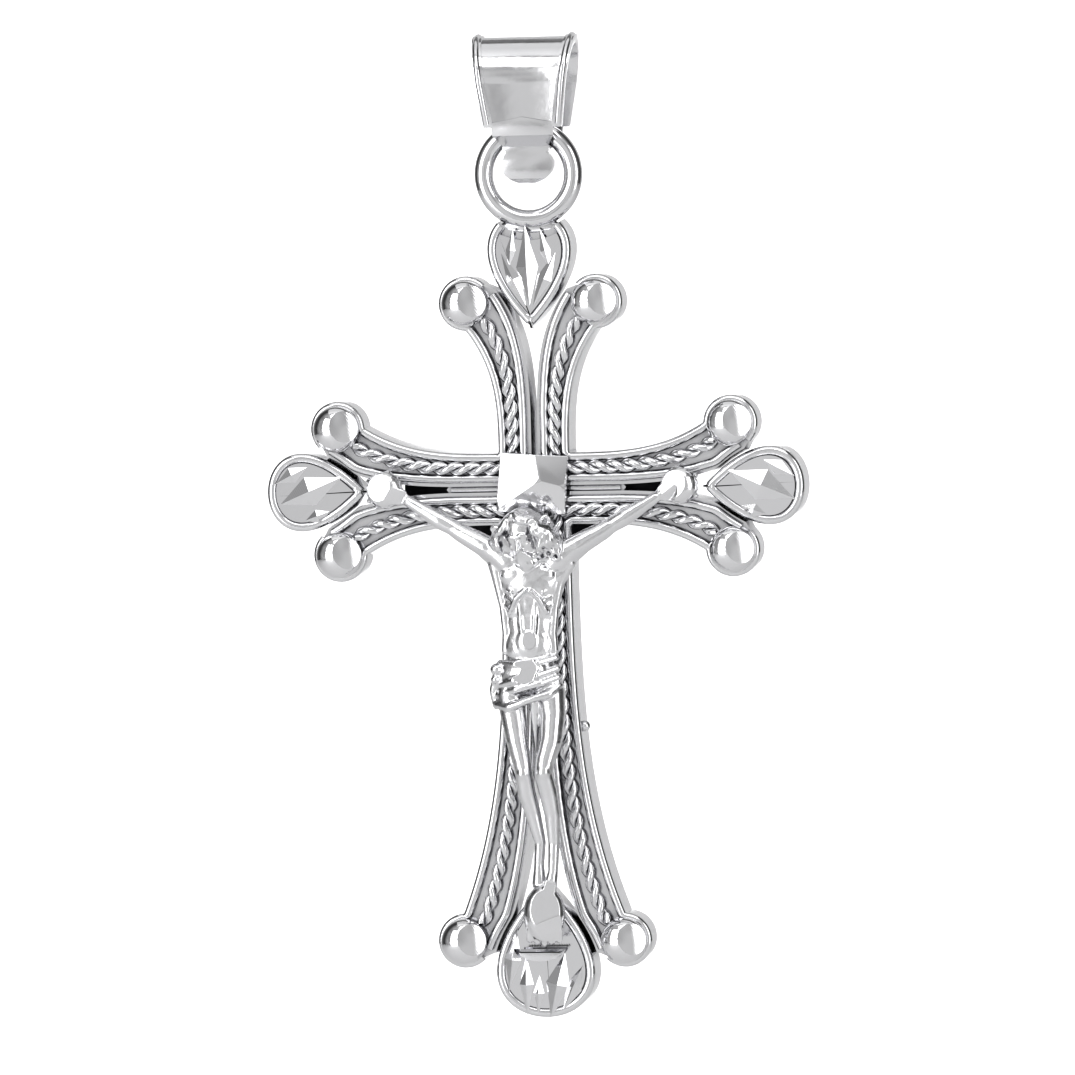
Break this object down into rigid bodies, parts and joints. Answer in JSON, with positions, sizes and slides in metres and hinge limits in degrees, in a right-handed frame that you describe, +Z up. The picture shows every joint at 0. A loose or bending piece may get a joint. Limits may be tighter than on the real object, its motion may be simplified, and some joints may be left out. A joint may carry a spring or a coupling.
{
  "type": "crucifix pendant",
  "caption": "Polished silver crucifix pendant: a flared cross of wire-edged strips with petal ends, hung by a ring that swings in a tapered bail for a neck chain.",
  "frame": {"origin": "the chain seat: the inside top of the bail's opening, midway across its width", "axes": "+X to the right of someone facing the figure, the front faces -Y, +Z up the cross towards the chain"},
  "size_m": [0.0208, 0.0043, 0.0375],
  "materials": {
    "cast_silver": "polished, rhodium plated",
    "wire_silver": "polished wire",
    "twisted_silver": "twisted wire, darker in its grooves",
    "bright_cut_silver": "bright-cut mirror facets"
  },
  "bodies": {
    "bail": {"bail": "cast_silver"},
    "cross": {"hanging_ring": "wire_silver", "corner_strip_upper_left": "cast_silver", "corner_strip_upper_right": "cast_silver", "corner_strip_lower_left": "cast_silver", "corner_strip_lower_right": "cast_silver", "outer_wire_upper_left": "wire_silver", "outer_wire_upper_right": "wire_silver", "outer_wire_lower_left": "wire_silver", "outer_wire_lower_right": "wire_silver", "inner_wire_upper_left": "wire_silver", "inner_wire_upper_right": "wire_silver", "inner_wire_lower_left": "wire_silver", "inner_wire_lower_right": "wire_silver", "rope_wire_upper_left_upright": "twisted_silver", "rope_wire_upper_left_side": "twisted_silver", "rope_wire_upper_right_upright": "twisted_silver", "rope_wire_upper_right_side": "twisted_silver", "rope_wire_lower_left_upright": "twisted_silver", "rope_wire_lower_left_side": "twisted_silver", "rope_wire_lower_right_upright": "twisted_silver", "rope_wire_lower_right_side": "twisted_silver", "bead_upper_left_upright": "bright_cut_silver", "bead_upper_left_side": "bright_cut_silver", "bead_upper_right_upright": "bright_cut_silver", "bead_upper_right_side": "bright_cut_silver", "bead_lower_left_upright": "bright_cut_silver", "bead_lower_left_side": "bright_cut_silver", "bead_lower_right_upright": "bright_cut_silver", "bead_lower_right_side": "bright_cut_silver", "petal_top": "bright_cut_silver", "petal_right": "bright_cut_silver", "petal_bottom": "bright_cut_silver", "petal_left": "bright_cut_silver", "petal_rim_top": "wire_silver", "petal_rim_right": "wire_silver", "petal_rim_bottom": "wire_silver", "petal_rim_left": "wire_silver", "title_plaque": "bright_cut_silver", "corpus": "cast_silver", "foot_rest": "cast_silver"}
  },
  "joints": [
    {"name": "cross_swing", "type": "hinge", "parent": "bail", "child": "cross", "pos_m": [0, 0, -0.00322], "axis": [1, 0, 0], "range_deg": [-60, 60]}
  ]
}
